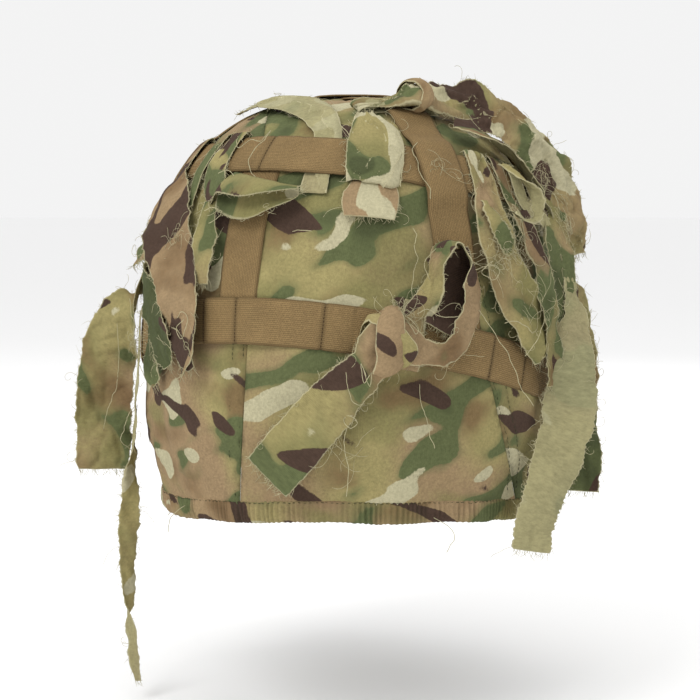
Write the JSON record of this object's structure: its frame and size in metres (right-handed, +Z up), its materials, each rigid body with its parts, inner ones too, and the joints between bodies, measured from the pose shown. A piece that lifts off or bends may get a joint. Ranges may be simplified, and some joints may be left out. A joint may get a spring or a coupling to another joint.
{
  "type": "scrim helmet cover",
  "caption": "Camouflage cloth helmet cover with gathered hem, a cage of brown elastic webbing and torn cloth strips hitched through it",
  "frame": {"origin": "underside of the cloth at the crown, where the helmet carries the cover", "axes": "+Z up, front towards -Y, +X to the viewer's right when looking at the front"},
  "size_m": [0.324, 0.3118, 0.3646],
  "materials": {
    "camouflage_cloth": "matt printed ripstop",
    "camouflage_strip": "matt printed ripstop, torn edges",
    "pale_strip": "matt reverse side of the print",
    "webbing": "ribbed elastic webbing"
  },
  "bodies": {
    "root": {"leg_back": "webbing", "leg_front": "webbing", "panel_centre": "camouflage_cloth", "panel_left": "camouflage_cloth", "panel_right": "camouflage_cloth", "ring_lower": "webbing", "ring_upper": "webbing", "strap_ear_to_ear": "webbing", "strap_over_crown": "webbing", "strip_back_1": "camouflage_strip", "strip_back_2": "camouflage_strip", "strip_back_3": "camouflage_strip", "strip_back_4": "camouflage_strip", "strip_back_5": "camouflage_strip", "strip_back_6": "camouflage_strip", "strip_back_7": "camouflage_strip", "strip_crown_knot": "camouflage_strip", "strip_crown_pale": "pale_strip", "strip_ear_left": "camouflage_strip", "strip_ear_right": "camouflage_strip", "strip_flap": "camouflage_strip", "strip_knotted": "camouflage_strip", "strip_left_fold": "camouflage_strip", "strip_left_front": "camouflage_strip", "strip_left_loop": "camouflage_strip", "strip_left_shoulder": "camouflage_strip", "strip_long_narrow": "pale_strip", "strip_right_broad": "camouflage_strip", "strip_right_curl": "camouflage_strip", "strip_right_long": "pale_strip", "strip_short_right": "camouflage_strip", "strip_wrap_front": "pale_strip"}
  },
  "joints": []
}
